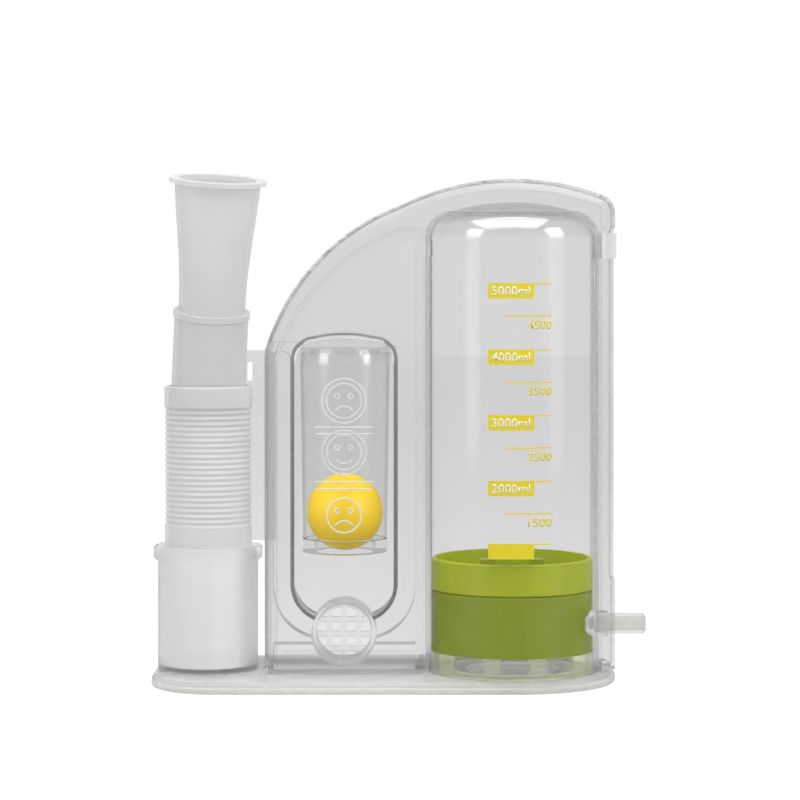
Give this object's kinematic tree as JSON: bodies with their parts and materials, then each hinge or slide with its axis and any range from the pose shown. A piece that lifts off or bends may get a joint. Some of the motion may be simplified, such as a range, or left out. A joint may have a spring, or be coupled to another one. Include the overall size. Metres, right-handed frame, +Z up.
{
  "type": "incentive spirometer",
  "caption": "Volumetric incentive spirometer: clear housing with a floating ball flow window, a volume cylinder with a sliding piston, and a breathing hose in a holder cup.",
  "frame": {"origin": "centre of the base's underside", "axes": "+X to the right seen from the scale side, -Y towards the patient, +Z up"},
  "size_m": [0.1637, 0.065, 0.1703],
  "materials": {
    "clear_shell": "clear moulded styrene plastic",
    "clear_tube": "clear moulded styrene plastic",
    "milky_plastic": "milky translucent polypropylene",
    "hose_plastic": "milky soft polyethylene",
    "green_plastic": "satin olive green plastic",
    "yellow_plastic": "satin yellow plastic"
  },
  "bodies": {
    "housing": {"base_tray": "clear_shell", "bottom_plate": "clear_shell", "holder_cup": "clear_shell", "volume_cylinder": "clear_tube", "air_inlet_ring": "clear_tube", "front_shell": "clear_shell", "rear_shell": "clear_shell", "flow_window": "clear_tube", "flow_tube": "clear_tube", "ball_seat": "clear_tube", "ball_stop": "clear_tube", "inlet_grille": "clear_shell", "side_port": "clear_shell", "tube_bracket": "clear_shell"},
    "piston": {"piston_skirt": "green_plastic", "piston_crown": "green_plastic", "piston_bridge": "clear_tube"},
    "ball": {"flow_ball": "yellow_plastic"},
    "pointer": {"goal_pointer": "milky_plastic"},
    "hose_foot": {"hose_lower_cuff": "hose_plastic", "corrugated_hose": "hose_plastic"},
    "hose_head": {"hose_upper_cuff": "hose_plastic", "hose_adapter": "milky_plastic"},
    "connector": {"hose_connector": "milky_plastic"},
    "mouthpiece": {"mouthpiece": "milky_plastic"}
  },
  "joints": [
    {"name": "piston_lift", "type": "slide", "parent": "housing", "child": "piston", "axis": [0, 0, 1], "range_m": [0, 0.1]},
    {"name": "ball_float", "type": "slide", "parent": "housing", "child": "ball", "axis": [0, 0, 1], "range_m": [0, 0.04]},
    {"name": "pointer_slide", "type": "slide", "parent": "housing", "child": "pointer", "axis": [0, 0, 1], "range_m": [-0.106, 0]},
    {"name": "hose_lift_out", "type": "slide", "parent": "housing", "child": "hose_foot", "axis": [0, 0, 1], "range_m": [0, 0.045]},
    {"name": "hose_stretch", "type": "slide", "parent": "hose_foot", "child": "hose_head", "axis": [0, 0, 1], "range_m": [0, 0.25], "deforming": ["corrugated_hose"]},
    {"name": "connector_swivel", "type": "hinge", "parent": "hose_head", "child": "connector", "pos_m": [-0.0592, 0, 0.099], "axis": [0.0575, -0.1729, 0.9833], "continuous": true},
    {"name": "mouthpiece_pull", "type": "slide", "parent": "connector", "child": "mouthpiece", "axis": [0.0575, -0.1729, 0.9833], "range_m": [0, 0.03]}
  ]
}
